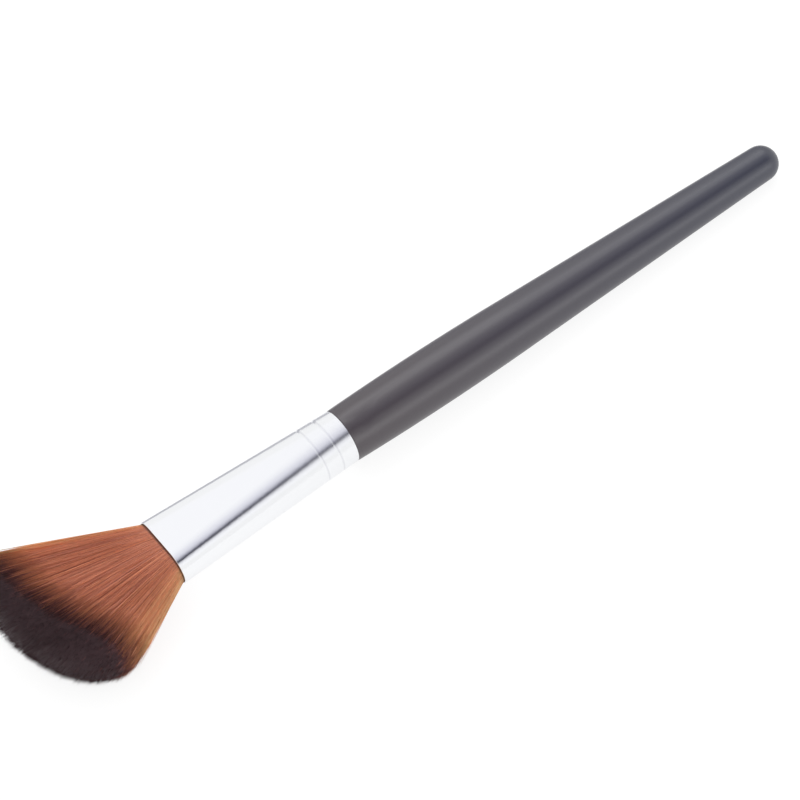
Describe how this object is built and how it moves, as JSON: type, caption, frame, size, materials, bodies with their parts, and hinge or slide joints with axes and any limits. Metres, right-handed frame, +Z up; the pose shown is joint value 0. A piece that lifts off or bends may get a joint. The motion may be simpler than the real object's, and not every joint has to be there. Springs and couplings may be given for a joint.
{
  "type": "angled blush brush",
  "caption": "Slim hand brush with a round tapered handle, a flattened metal ferrule and a fan of two-tone hair whose tip is cut at a slant",
  "frame": {"origin": "centre of the bounding box in X and Y, on the surface that the brush lies on", "axes": "+X along the brush towards the end of the handle, +Y the wide way of the tuft towards its long hair, +Z up from the surface that it lies on"},
  "size_m": [0.1822, 0.0356, 0.0207],
  "materials": {
    "satin_black_lacquer": "satin black lacquer on turned wood",
    "polished_aluminium": "bright polished sheet",
    "two_tone_hair": "fine synthetic hair, orange-brown with dark tips",
    "cotton_thread": "wound cotton thread",
    "cured_epoxy": "cast clear epoxy"
  },
  "bodies": {
    "root": {"handle": "satin_black_lacquer", "ferrule": "polished_aluminium", "bristle_bundle": "two_tone_hair", "binding_thread": "cotton_thread", "glue_plug": "cured_epoxy"}
  },
  "joints": []
}
